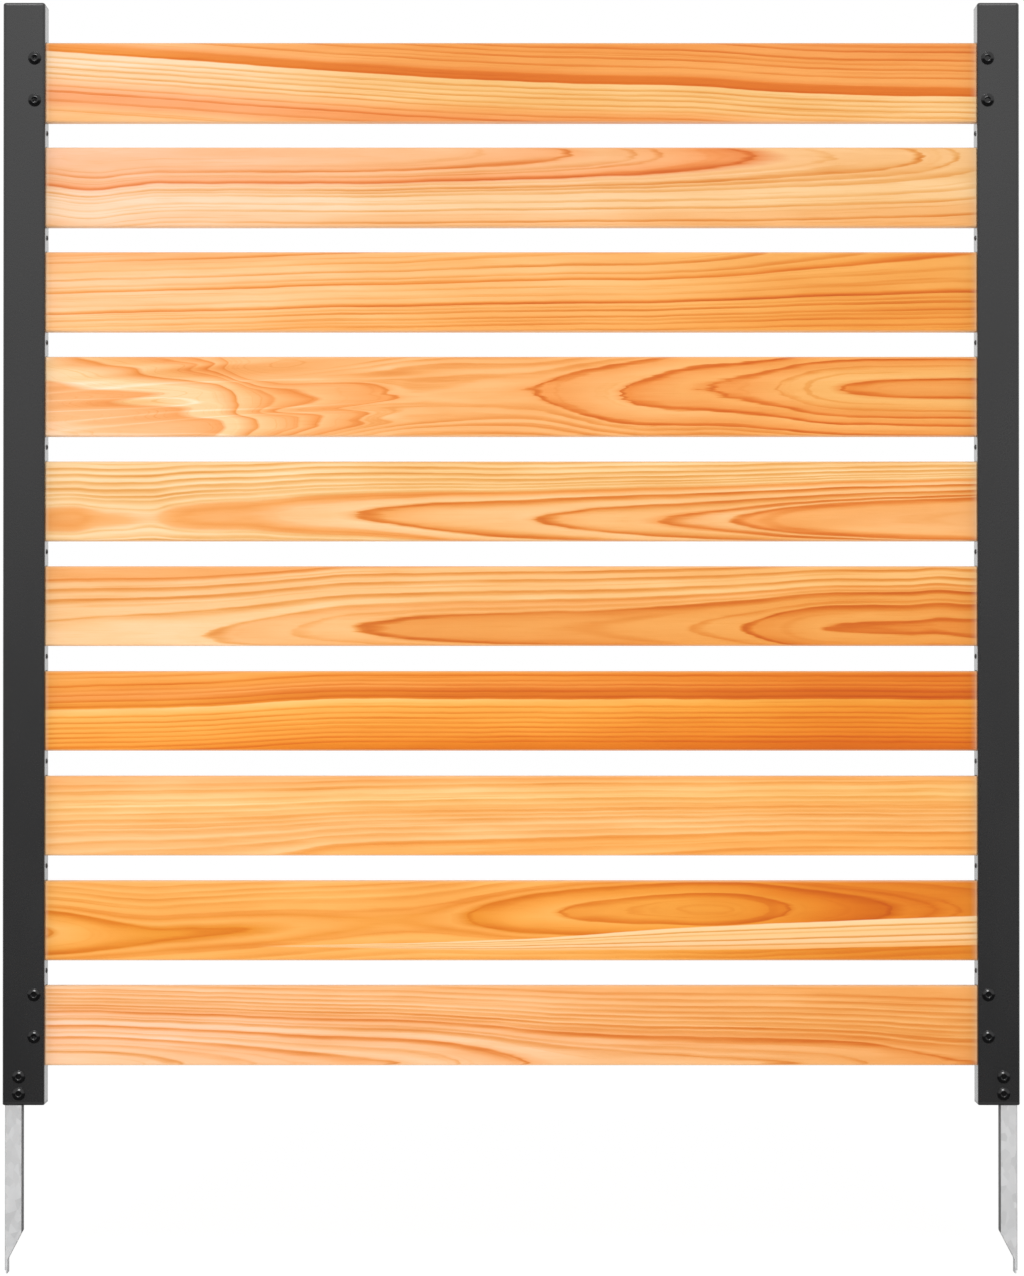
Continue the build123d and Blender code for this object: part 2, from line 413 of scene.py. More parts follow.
slat_02 = Slat(
    pith=[
        (-464, 31), (-443, 30), (-406, 26.5), (-365, 31), (-329, 34), (-164, 33), (60, 32),
        (240, 29), (464, 29),
    ],
    depth=[
        (-464, 12.5), (-443, 12), (-330, 8), (-164, 10), (-36, 16), (58, 21.2), (232, 30.9),
        (394, 37.8), (428, 40.3), (464, 43),
    ],
    tones=[
        (0, "F7BA8D"), (15, "F7BD91"), (21, "F6B180"), (23, "F8C39A"), (27, "F7B383"),
        (29, "F3A169"), (30.9, "E98F56"), (32.5, "F9CCA6"), (38, "F9CCA4"), (45, "FAD5B1"),
        (56, "FAD3AD"), (62, "F8C495"), (75, "F7BD89"),
    ],
    lines=[
        (7, 0.3), (16.5, 0.15), (21.2, 0.75), (24.8, 0.3), (26.3, 0.35), (30.9, 0.7),
        (34, 0.2), (37.8, 0.8), (40.3, 0.5), (43.5, 0.45), (51, 0.35), (57.5, 0.5), (68.5, 0.6),
    ],
    stain=(-0.1, 0.3, 0.6), feather=0.5, bold=(0.5, 1, 1),
)
slat_03 = Slat(
    pith=[(-464, 47), (-443, 48), (-300, 51), (-164, 55), (170, 55), (294, 54), (464, 50)],
    depth=[
        (-464, 1), (-443, 2), (-164, 10), (3, 21.4), (170, 26.8), (294, 38.5), (399, 46), (464, 49),
    ],
    tones=[
        (10, "F4A65F"), (30, "FCBE7C"), (40, "FDC58A"), (46, "FCBF7F"), (48.5, "F7AD61"),
        (49.8, "F19C4C"), (50.6, "FDC385"), (64, "FCBF7F"), (66.5, "FCBD7A"), (67.6, "F5A85B"),
        (70, "EB9244"), (70.8, "FCBE7A"), (90, "FBB76E"),
    ],
    lines=[
        (15, 0.5), (21.3, 0.7), (30.5, 0.4), (38.3, 0.65), (45.1, 0.4), (49.8, 0.5), (56, 0.25),
        (63, 0.25), (70, 0.7), (74, 0.3), (77.1, 0.7), (82.8, 0.55), (86, 0.3), (89.4, 0.55),
        (95, 0.4),
    ],
    stain=(-0.35, 0.28, 1.1), bold=(0.5, 1, 1),
)
print("first slats:", len(slat_01.lines), len(slat_02.lines), len(slat_03.lines), "lines")

# %% [markdown]
# The next three show the most figure. At the left of the fourth the trunk was
# crooked, so the grain runs out in broken layers; to the right it closes in wide
# arches. The fifth and the sixth have long narrow arches that point to the left.

# %% Slats 4 to 6
slat_04 = Slat(
    pith=[
        (-464, -50), (-443, -50), (-330, -48), (-240, -30), (-150, -5), (-60, 4), (21, 5.2),
        (105, 3), (190, 8), (316, 8), (464, 7),
    ],
    depth=[
        (-464, 8), (-300, 16), (-220, 33), (-150, 42), (-60, 46.4), (21, 45.9), (105, 36.1),
        (170, 29.7), (190, 29), (251, 23), (316, 10.7), (437, 5), (464, 5),
    ],
    tones=[
        (-90, "FDCE98"), (-60, "FBBC80"), (-30, "F7AC6A"), (-22, "F4A25C"), (-17, "FDD29C"),
        (-5, "FDD098"), (5, "F9B678"), (10.3, "F09A4C"), (12.5, "FCC88E"), (21, "FBBE80"),
        (28.6, "F6A45E"), (30, "FBBA7A"), (35.6, "F2984C"), (37, "FCC084"), (45.6, "F5A25A"),
        (46.6, "FBBA7C"), (56, "FCBC80"),
    ],
    lines=[
        (10.7, 0.6), (22.5, 0.3), (29, 0.7), (36.1, 0.75),
        (45.9, 0.75), (49, 0.4), (53, 0.5), (57, 0.5), (62, 0.4),
    ],
    stain=(-0.1, 0.25, 0.8), bold=[(-464, 0.1), (-210, 0.1), (-90, 0.8), (0, 1.0), (464, 1.15)],
    feather=[(-464, 0.6), (-140, 0.6), (0, 0.5), (100, 1.1), (250, 1.2), (464, 0.5)],
    lean=[
        (-464, -94), (-443, -88), (-330, -61), (-290, -45), (-220, -1), (-150, 2), (-60, 0), (464, 0),
    ],
    ripple=[(-464, 20), (-250, 20), (-130, 9), (-40, 2), (60, 0), (464, 0)],
)
slat_05 = Slat(
    pith=[
        (-464, -17.5), (-370, -17), (-280, -14.5), (-147, -13), (0, -17), (145, -18), (464, -17),
    ],
    depth=[
        (-464, 48.3), (-420, 47.8), (-395, 48.6), (-370, 48.9), (-345, 49.2), (-318, 48.2),
        (-280, 47.6), (-250, 47.4), (-205, 46.2), (-146, 45), (24, 40.9), (145, 38), (210, 36.5),
        (311, 33), (464, 30),
    ],
    tones=[
        (29, "F8BA7D"), (34, "F7B06A"), (36.3, "F5A45C"), (36.8, "FAC58C"), (38, "F2A056"),
        (38.5, "F9BE7F"), (39.8, "F9BE7F"), (40.8, "F4A860"), (41.2, "FAC790"), (43.2, "F9BC7D"),
        (44.9, "F4A65A"), (45.4, "FBCE9A"), (46.6, "FAC288"), (47.4, "F6AE68"), (48.2, "F09E4F"),
        (49.0, "F7B26C"), (49.6, "FCD5A1"), (72, "FCD39C"),
    ],
    lines=[
        (36.5, 0.8), (38, 0.75), (40.9, 0.8), (45, 0.8), (50, 0.3), (52, 0.4), (53.5, 0.5),
        (56.5, 0.6), (60, 0.6), (64.3, 0.6), (68.4, 0.55),
    ],
    stain=(-0.08, 0.2, 0.13),
)
slat_06 = Slat(
    pith=[
        (-464, -28), (-320, -28), (-200, -24), (-147, -21.5), (376, -21.5), (407, -19.6), (440, -21.5),
        (464, -21.5),
    ],
    depth=[
        (-464, 67), (-290, 64), (-147, 60), (3, 58), (72, 57.7), (221, 53.7), (299, 49.4),
        (376, 49), (464, 48.5),
    ],
    tones=[
        (47, "EE9D4A"), (49.2, "EB9342"), (49.6, "F3AB5E"), (53.4, "ED9946"), (53.9, "F4AD60"),
        (57, "F2A758"), (59.7, "EE9D4E"), (60.2, "FABC79"), (63.4, "F9B571"), (64.2, "FCC88B"),
        (82, "FABF7F"), (84.6, "F3A55A"), (90, "F4A960"),
    ],
    lines=[
        (49.4, 0.8), (53.7, 0.85), (55.5, 0.35), (60, 0.9), (61.6, 0.25), (64, 0.55), (68.2, 0.65),
        (74.4, 0.65), (79.3, 0.65), (85, 0.5),
    ],
    stain=(-0.2, 0.1, 0.45),
)
print("next slats:", len(slat_04.lines), len(slat_05.lines), len(slat_06.lines), "lines")

# %% [markdown]
# The seventh slat took the most stain, and the eighth has only soft lines. On the ninth
# the pith comes near the face and leaves it again, which closes the rings to an eye;
# below lies a pale wedge of sapwood. The tenth's rings fall to the right and leave below.

# %% Slats 7 to 10
slat_07 = Slat(
    pith=[(-464, -0.5), (-443, 0), (-297, 3.8), (-145, 11.4), (3, 11.4), (464, 10.8)],
    depth=None,
    tones=[
        (-50, "E07417"), (-44, "EE9233"), (-30, "F39E41"), (-22, "EE902F"), (-14, "F2983F"),
        (-11, "F0923B"), (-6, "EE922F"), (-0.8, "EA8C25"), (0.5, "FDBA5F"), (7, "FBAC47"),
        (22, "F7A039"), (34, "F3962F"), (41, "EA841B"), (50, "DA7009"),
    ],
    lines=[
        (-40, 0.4), (-34, 0.25), (-30, 0.35), (-22, 0.5), (-17, 0.25), (-13, 0.45), (-7, 0.4),
        (-2, 0.4), (8, 0.4), (13.5, 0.45), (18.5, 0.5), (23, 0.4), (27.5, 0.5), (32, 0.4),
        (36.5, 0.5), (41, 0.5),
    ],
    stain=(-0.6, -0.1, 1.05),
    streak=(-11.0, 0.0, [(-464, 0), (-330, 0.05), (-250, 0.26), (-100, 0.36), (464, 0.3)]),
)
slat_08 = Slat(
    pith=[(-464, -50), (464, -50)],
    depth=[
        (-464, 41), (-443, 40), (-216, 32.6), (-164, 27), (3, 21.1), (170, 13.4), (294, 5), (464, 5),
    ],
    tones=[
        (10, "FDB768"), (20, "FCB460"), (34, "FBB05A"), (36, "FDBE74"), (50, "FDC078"),
        (60, "FDBB6C"), (70, "FEC87C"), (80, "FDBE70"), (92, "FBB064"),
    ],
    lines=[
        (20.9, 0.55), (27, 0.25), (35, 0.55), (41, 0.4), (46, 0.4), (51.8, 0.5),
        (55.5, 0.35), (59.6, 0.55), (64, 0.3), (68.9, 0.5), (75, 0.3), (82.6, 0.5), (88, 0.35),
    ],
    stain=(-0.35, -0.18, 0.0), soft=1.7, bold=(0.7, 0.75, 0.75), feather=0.5,
)
slat_09 = Slat(
    pith=[
        (-464, -12), (-443, -12), (-354, -14.5), (-302, -11.7), (-252, -8.6), (-100, 0), (60, 8),
        (170, 11), (464, 10),
    ],
    depth=[
        (-464, 17), (-443, 18.4), (-354, 26.6), (-302, 27.5), (-248, 28), (-110, 31.2), (47, 18.9),
        (110, 14.5), (157, 12.2), (185, 11.2), (212, 12.2), (266, 18.9), (364, 27.9), (430, 33), (464, 35),
    ],
    tones=[
        (0, "FAB256"), (12, "FAAE4E"), (15.5, "F7A644"), (18.8, "EE9430"), (19.6, "FAAE50"),
        (22, "F7A442"), (25, "F09632"), (27.9, "E6881E"), (29.2, "F7A648"), (30.2, "F4A042"),
        (31.2, "F09836"), (32.2, "F8A84A"), (40, "FAB054"), (60, "FAB25A"),
    ],
    lines=[
        (12.2, 0.15), (18.9, 0.4), (27.9, 0.35), (33, 0.32), (39, 0.3), (44, 0.3), (48, 0.25), (53, 0.25),
    ],
    stain=(-0.4, -0.3, 1.75), feather=[(-464, 0.2), (-220, 0.2), (-100, 0.5), (464, 0.6)],
    soft=1.4,
    sapwood=(
        [(-464, -25), (-202, -23.4), (3, -17.6), (170, -6.2), (294, -0.5), (437, 4.8), (464, 5.5)],
        [(-464, -25.3), (-202, -25.5), (3, -28.6), (170, -28.6), (294, -27), (437, -23.8), (464, -23)],
    ),
)
slat_10 = Slat(
    pith=[(-464, -40), (464, -40)],
    depth=[
        (-464, 0), (-443, 0), (-297, 17), (-164, 27), (-91, 30), (-36, 35), (17, 39.7), (70, 43),
        (170, 45.5), (242, 46.2), (331, 48.4), (392, 52), (464, 54),
    ],
    tones=[
        (0, "FBBB7C"), (15, "FCC288"), (28, "FBB476"), (31, "FDC690"), (40, "FAB274"),
        (42, "FDC894"), (53, "FAB476"), (60, "FCBF82"), (75, "FDC084"), (88, "FBB674"),
    ],
    lines=[
        (15.7, 0.6), (22, 0.25), (29.4, 0.65), (34, 0.3), (40, 0.75), (46.9, 0.6), (49, 0.3),
        (53.8, 0.75), (57, 0.4), (59.5, 0.65), (63, 0.4), (66, 0.45), (70, 0.4), (74, 0.4),
        (79, 0.35), (84, 0.3),
    ],
    stain=(-0.4, -0.1, 0.5), bold=(1, 1, 1.2), soft=1.2, feather=0.4,
)
SLATS = [
    slat_01, slat_02, slat_03, slat_04, slat_05, slat_06, slat_07, slat_08, slat_09, slat_10,
]
print(len(SLATS), "slats,", sum(len(slat.lines) for slat in SLATS), "latewood lines")

# %% [markdown]
# Dense wood takes up more stain. So everything dark on the wood is one number,
# how much stain has soaked in, and one function turns it into colour by raising
# a tint to that power, as light fades in a dyed glass: blue is lost first, then
# green, and red last, which keeps dark wood orange instead of grey. Two more
# helpers read the tables above: a float curve gives a value at any place along
# the slat, and three numbers blend from the left end over the middle to the right.

# %% Wood: stain, and values along a slat
HALF_LENGTH = 464.0
CURVE_RANGE = 120.0
LEFT_TO_MIDDLE = (0.1, 0.5)
MIDDLE_TO_RIGHT = (0.5, 0.9)
DENSE_RINGS = (0.69, 0.33, 0.085)
STAIN = (0.71, 0.38, 0.055)


def soak(colour, amount, tint=DENSE_RINGS):
    """Darken a wood colour as stain does; a negative amount bleaches it."""
    passed = amount.add("ShaderNodeVectorMath", {"operation": "POWER"}, {0: tint, 1: amount})
    return blend(1.0, colour, passed, "MULTIPLY")


def curve_along(along, points):
    """A value in millimetres that changes along the slat through the points."""
    eased = [
        ((x + HALF_LENGTH) / (2 * HALF_LENGTH), (value + CURVE_RANGE) / (2 * CURVE_RANGE))
        for x, value in points
    ]
    share = along.add("ShaderNodeFloatCurve", {"points": eased}, {"Value": along})
    return share * (2 * CURVE_RANGE) - CURVE_RANGE


def changing(along, values):
    """One number, three numbers for left, middle and right, or points along the slat."""
    if isinstance(values, list):
        return curve_along(along, values)
    if isinstance(values, (int, float)):
        return values
    left, halfway, right = values
    to_middle = smooth(along, *LEFT_TO_MIDDLE) * (halfway - left)
    to_right = smooth(along, *MIDDLE_TO_RIGHT) * (right - halfway)
    return left + to_middle + to_right


print("stain lets through", STAIN, "of red, green and blue")

# %% [markdown]
# A ring is the distance to the pith, and a little noise makes the pith wander,
# as no trunk is straight. Deeper in the board the same ring lies elsewhere, so
# the grain also runs round the edges. A latewood line fades in from the pith side
# and stops sharply on the outside, as a summer's growth does. A colour ramp holds
# eight such lines at most, so a slat with more gets several ramps.

# %% Wood: rings and latewood lines
SLAT_FACE = -9.0
WANDER_SIZE = (95, 60, 60)
WANDER = 1.5
WOBBLE_SIZE = (26, 40, 40)
WOBBLE = 0.4
STRAIGHT_SLOPE = 0.3
ARCH_SLOPE = 0.6
FLAT_TO_STEEP = (0.08, 0.45)
LINES_PER_RAMP = 8
LINE_FADE = 2.4
LINE_CORE = 0.6
LINE_STOP = 0.5


def rings_of(slat, along, y, z, grain):
    """Which ring a point belongs to, and how steeply the face cuts it."""
    wander = noise(grain, WANDER_SIZE, 3) * WANDER + noise(grain, WOBBLE_SIZE, 2) * WOBBLE
    below = curve_along(along, slat.pith) + wander - z
    inward = y - SLAT_FACE
    if slat.depth is None:
        return below + inward * STRAIGHT_SLOPE, None
    behind = curve_along(along, slat.depth) + inward * ARCH_SLOPE
    ring = (below ** 2 + behind ** 2) ** 0.5
    steep = smooth(below.math("ABSOLUTE", below) / ring, *FLAT_TO_STEEP)
    if slat.lean:
        ring = ring + curve_along(along, slat.lean)
    return ring, steep


def tone_of(ring, tones):
    """The colour of a ring."""
    low, high = tones[0][0], tones[-1][0]
    stops = [((at - low) / (high - low), paint(code)) for at, code in tones]
    return ring.add("ShaderNodeValToRGB", {"stops": stops}, {0: (ring - low) * (1 / (high - low))})


def latewood(ring, lines, width=1.0):
    """How dark a ring is: 0 between the lines, up to each line's strength."""
    dark = None
    for first in range(0, len(lines), LINES_PER_RAMP):
        group = lines[first:first + LINES_PER_RAMP]
        low = group[0][0] - LINE_FADE * width
        span = group[-1][0] + LINE_FADE * width - low
        stops = []
        edge = low
        for at, strength in group:
            start = max(at - LINE_FADE * width, edge)
            core = max(at - LINE_CORE * width, start)
            edge = at + LINE_STOP * width
            for place, grey in ((start, 0), (core, strength), (at, strength), (edge, 0)):
                stops.append(((place - low) / span, (grey, grey, grey, 1)))
        part = ring.add("ShaderNodeValToRGB", {"stops": stops}, {0: (ring - low) * (1 / span)})
        dark = part if dark is None else dark.larger(part)
    return dark


print("a latewood line is", LINE_FADE + LINE_STOP, "mm wide")

# %% [markdown]
# Some boards have more to show. The ninth has a wedge of sapwood, which is pale
# and stays pale under stain, so it is laid over the finished colour. On the fourth
# the grain runs out of the face: noise that is long along the board and tilted a
# little cuts it into layers, moves the rings of each layer, and leaves pale seams
# between them. Two boards have a streak that is dark between two of their rings.

# %% Wood: sapwood, layers and streaks
LINE_SOAK = 0.75
SAP_START = (-245, -195)
SAP_EDGE = 0.05
SAP_FRAY = 0.6
SAP_TONES = [(0.0, "FEDAA6"), (0.4, "FCCB8A"), (0.7, "FDD09A"), (1.0, "FAB868")]
SAP_RINGS = 20
SAP_LINES = [(5, 0.75), (8, 0.25), (12.4, 0.85), (16.5, 0.6)]
SAP_LINE_WIDTH = 0.6
LAYER_SIZE = (200, 12, 12)
LAYER_TILT = 0.05
LAYER_DARK = (0.1, 0.5)
LAYER_SOAK = 0.012
SEAM_WIDTH = 0.1
SEAM_PALE = 0.8
STREAK_FADE = 1.5
STREAK_STOP = 0.4


def add_sapwood(colour, sapwood, along, x, z, fray):
    """A pale wedge of sapwood between two lines, with a few rings of its own."""
    top, bottom = (curve_along(along, points) for points in sapwood)
    share = (top - z + fray * SAP_FRAY) / (top - bottom)
    under_top = smooth(share, 0.0, SAP_EDGE)
    over_bottom = 1.0 - smooth(share, 1.0 - SAP_EDGE, 1.0)
    inside = under_top * over_bottom * smooth(x, *SAP_START)
    lines = latewood(share * SAP_RINGS, SAP_LINES, SAP_LINE_WIDTH)
    return blend(inside, colour, soak(tone_of(share, SAP_TONES), lines * LINE_SOAK))


def broken_layers(slat, along, metres, offset):
    """How far each layer moves the rings, and how much stain it takes up."""
    tilted = {0: metres, 1: metres.out("Y"), 2: metres.out("Z") - metres * LAYER_TILT}
    layers = shifted(metres.add("ShaderNodeCombineXYZ", None, tilted), offset)
    layer = noise(layers, LAYER_SIZE, 0.4)
    rippled = curve_along(along, slat.ripple)
    layer_seam_and_stake_shade = 1.0 - smooth(layer.math("ABSOLUTE", layer), 0.0, SEAM_WIDTH)
    dark = smooth(layer, *LAYER_DARK) - layer_seam_and_stake_shade * SEAM_PALE
    return layer * rippled, dark * rippled * LAYER_SOAK


def streak_of(slat, along, ring):
    """How much stain the dark band between two rings takes up."""
    first, last, points = slat.streak
    begun = smooth(ring, first - STREAK_FADE, first + STREAK_FADE)
    ended = smooth(ring, last - STREAK_STOP, last + STREAK_STOP)
    return begun * (1.0 - ended) * curve_along(along, points)


print(sum(bool(slat.sapwood or slat.ripple or slat.streak) for slat in SLATS), "slats have more to show")

# %% [markdown]
# Painted light comes on top of everything. The eased long edges are painted paler,
# which lifts the shade on their rounding, and the two ends of the face get a pale
# band of painted light beside the posts, wider at the right. Both are masks by distance, the height over
# the slat's middle squared and the place along it, and they blend the colour toward pale wood.

# %% Wood: painted light on the edges
LONG_EDGE = (36.0, 37.7)
LONG_EDGE_PALE = 0.45
END_OF_FACE = 444.0
LIT_ENDS = [(-1, 4.0, 0.3), (1, 7.0, 0.16), (1, 2.6, 0.2)]


def paint_edge_light(colour, x, z):
    """Painted light: paler wood along the eased edges and at the two ends of the face."""
    from_edge, to_edge = LONG_EDGE
    edge = smooth(z * z, from_edge ** 2, to_edge ** 2)
    # Painted light on the long edges, lifting the shade on their rounding.
    colour = blend(edge * LONG_EDGE_PALE, colour, paint("FFDDB0"))
    # Painted light at the ends: a pale band beside each post.
    ends = [
        smooth(x * side, END_OF_FACE - reach, END_OF_FACE) * amount for side, reach, amount in LIT_ENDS
    ]
    return blend(ends[0] + ends[1] + ends[2], colour, paint("FFE6C4"))


# The pale bands at the ends are painted light; this is how far they reach from the posts.
print("wear reaches", max(reach for side, reach, amount in LIT_ENDS), "mm from the posts")

# %% [markdown]
# Now the wood is one function. It finds the ring, frays it, and adds up what soaks
# in: latewood lines, fine rings, fibres and soft patches. Near the pith the face
# cuts the rings flat, which would smear a line out, so there a narrower copy of the
# lines takes over. The stain along the slat comes last, then the painted light on the edges. Fibres and
# lines also make the relief and the gloss, so that light and colour tell one story.

# %% Wood: the material of a slat
SEED_STEP = (3.7, 1.3, 2.1)
FEATHER_SIZE = (42, 3.2, 3.2)
UNEVEN_SIZE = (120, 12, 6)
LEAST_LINE = 0.2
NARROW = 0.22
FINE_SIZE = (2.0, 1.0, 1.0)
FINE_DRIFT = 0.004
FINE_SOAK = 0.22
FIBRE_SIZE = (36, 0.9, 0.9)
FIBRE_SOAK = 0.17
PATCH_SIZE = (130, 40, 16)
PATCH_SOAK = 0.2
STAIN_SOAK = 0.32
PORE_SIZE = (8, 0.5, 0.5)
WOOD_ROUGH = 0.52
WOOD_SHINE = 0.2
RELIEF_STRENGTH = 0.25
RELIEF_HEIGHT = 0.0004


def make_wood(name, slat, middle, seed):
    """The material of one slat whose middle is at the given height in metres."""
    material, place, shader = new_material(name)
    local = shifted(place, (0, 0, -middle))
    metres = local.add("ShaderNodeSeparateXYZ", None, {0: local}, "X")
    x, y, z = (part * (1 / MM) for part in (metres, metres.out("Y"), metres.out("Z")))
    offset = [seed * step for step in SEED_STEP]
    grain = shifted(local, offset)
    along = (x + HALF_LENGTH) * (1 / (2 * HALF_LENGTH))

    ring, steep = rings_of(slat, along, y, z, grain)
    fray = noise(grain, FEATHER_SIZE, 2)
    ring = ring + fray * changing(along, slat.feather)
    soaked = noise(grain, PATCH_SIZE, 2) * PATCH_SOAK
    if slat.ripple:
        moved, layer_soak = broken_layers(slat, along, metres, offset)
        ring = ring + moved
        soaked = soaked + layer_soak
    if slat.streak:
        soaked = soaked + streak_of(slat, along, ring)

    line = latewood(ring, slat.lines, slat.soft)
    if steep is not None:
        narrow = latewood(ring, slat.lines, NARROW)
        line = narrow + steep * (line - narrow)
    uneven = (noise(grain, UNEVEN_SIZE, 3) + 1.0).larger(LEAST_LINE)
    line = line * uneven * changing(along, slat.bold)
    fine_place = grain.add("ShaderNodeCombineXYZ", None, {0: ring * MM, 1: along * FINE_DRIFT})
    fine = smooth(noise(fine_place, FINE_SIZE, 2), 0.1, 0.55)
    fibre = noise(grain, FIBRE_SIZE, 3, 0.6)
    soaked = soaked + line * LINE_SOAK + fine * FINE_SOAK + smooth(fibre, 0.0, 0.9) * FIBRE_SOAK

    colour = soak(tone_of(ring, slat.tones), soaked)
    colour = soak(colour, changing(along, slat.stain) * STAIN_SOAK, STAIN)
    if slat.sapwood:
        colour = add_sapwood(colour, slat.sapwood, along, x, z, fray)
    # The base colour ends with the painted light on the edges.
    feed(shader, "Base Color", paint_edge_light(colour, x, z))
    feed(shader, "Roughness", fibre * 0.05 - line * 0.08 + WOOD_ROUGH)
    relief = fibre * 0.5 + line * 0.8 + noise(grain, PORE_SIZE, 2) * 0.25
    feed(shader, "Normal", bump(relief, RELIEF_STRENGTH, RELIEF_HEIGHT))
    shader.inputs["Specular IOR Level"].default_value = WOOD_SHINE
    return material


print("a fibre is about", FIBRE_SIZE[0], "mm long")

# %% [markdown]
# Every slat gets a material of its own, with its number as the seed that moves the
# noise. The finish goes into the slots of the slat's object and is linked to the
# object, not to the mesh, so the CAD mesh itself stays untouched.

# %% Wood on the ten slats
def dress(node_name, material):
    """Give a CAD node's object a finish in its own slot."""
    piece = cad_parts[node_name]
    for slot in piece.material_slots:
        slot.link = "OBJECT"
        slot.material = material


for number, slat in enumerate(SLATS, start=1):
    node_name = f"slat_{number:02d}"
    low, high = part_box(node_name)
    dress(node_name, make_wood(f"stained_wood_{number:02d}", slat, (low.z + high.z) / 2, number))
print("wood on", len(SLATS), "slats")

# %% [markdown]
# The posts are square steel tubes with a charcoal powder coat: a satin skin
# with the faint orange-peel texture that melted powder leaves, slightly clouded
# and flecked with paler grains. The caps are plastic of nearly the same grey, so
# one function makes both; they differ in their greys, their gloss and their peel.

# %% Powder coat and cap plastic
CLOUD_SIZE = (60, 60, 160)
SPECK_SIZE = (1.1, 1.1, 1.1)
SPECK_SHARE = 0.15
GLOSS_CHANGE = 0.03
PEEL_STRENGTH = 0.04


def make_satin(name, greys, roughness, peel_size, peel_height):
    """A dark satin skin with fine texture and soft variation."""
    material, place, shader = new_material(name)
    cloud = noise(place, CLOUD_SIZE, 3)
    speck = noise(place, SPECK_SIZE, 2)
    dark, light, fleck = (paint(code) for code in greys)
    tint = blend(smooth(cloud, -0.6, 0.6), dark, light)
    tint = blend(smooth(speck, 0.35, 0.9) * SPECK_SHARE, tint, fleck)
    feed(shader, "Base Color", tint)
    feed(shader, "Roughness", cloud * GLOSS_CHANGE + speck * GLOSS_CHANGE + roughness)
    peel = noise(place, (peel_size, peel_size, peel_size), 2)
    feed(shader, "Normal", bump(peel, PEEL_STRENGTH, peel_height))
    return material


powder_coat = make_satin("powder_coat", ("121213", "161617", "262627"), 0.27, 2.4, 0.0002)
cap_plastic = make_satin("cap_plastic", ("161617", "1A1A1B", "282829"), 0.34, 0.9, 0.0001)
for side in ("left", "right"):
    dress(f"{side}_post", powder_coat)
    dress(f"{side}_post_cap", cap_plastic)
    dress(f"{side}_foot_cap", cap_plastic)
print("posts and caps dressed")

# %% [markdown]
# The stakes are galvanised: the zinc freezes in flat crystals, each a slightly
# different grey, and dulls with time. Voronoi cells make the crystals; clouds and
# scratches of noise dull them. The side toward the middle of the panel is painted
# dark as shade, less metallic and rougher: a mask by the distance from the middle tints just that side.

# %% Galvanised steel
CRYSTAL_SIZE = (6, 6, 9)
DULL_SIZE = (22, 22, 40)
DULL_SHARE = 0.35
SCRATCH_SIZE = (0.7, 0.7, 26)
SCRATCH_SHARE = 0.25
ZINC_ROUGH = 0.42
ZINC_METAL = 0.3
inner_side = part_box("right_stake")[0].x
INNER_SHADE_FROM = inner_side + 0.0003
INNER_SHADE_TO = inner_side + 0.0010


def make_zinc():
    material, place, shader = new_material("galvanised_steel")
    cell_sockets = {"Vector": stretched(place, CRYSTAL_SIZE), "Scale": 1.0, "Randomness": 1.0}
    cells = place.add("ShaderNodeTexVoronoi", {"feature": "F1"}, cell_sockets, "Color")
    crystal = place.add("ShaderNodeSeparateColor", None, {0: cells}, "Red")
    cloud = noise(place, DULL_SIZE, 3)
    scratch = noise(place, SCRATCH_SIZE, 2)
    tint = blend(crystal, paint("C2C3C4"), paint("D0D1D2"))
    tint = blend(smooth(cloud, -0.2, 0.9) * DULL_SHARE, tint, paint("B4B5B6"))
    tint = blend(smooth(scratch, 0.45, 0.9) * SCRATCH_SHARE, tint, paint("9A9C9E"))
    side = place.add("ShaderNodeSeparateXYZ", None, {0: place}, "X")
    # Painted shade: the stake's side toward the middle turns dark grey, less metallic and rougher.
    layer_seam_and_stake_shade = 1.0 - smooth(side * side, INNER_SHADE_FROM ** 2, INNER_SHADE_TO ** 2)
    tint = blend(layer_seam_and_stake_shade, tint, paint("4A4A4B"))
    feed(shader, "Base Color", tint)
    feed(shader, "Roughness", crystal * 0.10 + cloud * 0.05 + layer_seam_and_stake_shade * 0.2 + ZINC_ROUGH)
    feed(shader, "Metallic", ZINC_METAL - layer_seam_and_stake_shade * ZINC_METAL)
    feed(shader, "Normal", bump(crystal * 0.4 + scratch * 0.4, 0.10, 0.0002))
    return material


zinc = make_zinc()
for side in ("left", "right"):
    dress(f"{side}_stake", zinc)
print("stakes dressed")

# %% [markdown]
# Twelve black screws with flanged button heads hold the panel together. In the CAD
# part a head is a plain cone on a flange; here rounder ones take their place. A head
# is one profile: the rounded edge of the flange, the dome, which is an arc of a large
# circle, and a shallow dish round the key socket. Sizes are millimetres.

# %% Screws: the profile of a head
FLANGE_RADIUS = 6.2
FLANGE_HEIGHT = 1.0
FLANGE_STEPS = 8
DOME_RADIUS = 5.3
DOME_ROUND = 12.5
DOME_STEPS = 6
FOOT_WIDENING = (0.25, 0.2)
FOOT_DROP = 0.15
CROWN_RADIUS = 3.1
HEAD_HEIGHT = 2.8
DISH_DEPTH = 0.3
DISH_LIP = [(0.25, 0.02), (0.45, DISH_DEPTH / 2)]
RIM_RADIUS = 2.45


def arc(centre, radius, first, last, steps):
    """Points of an arc; the angle is the slope of the surface in degrees."""
    turns = [math.radians(first + (last - first) * step / steps) for step in range(steps + 1)]
    return [
        (centre[0] + radius * math.sin(turn), centre[1] + radius * math.cos(turn)) for turn in turns
    ]


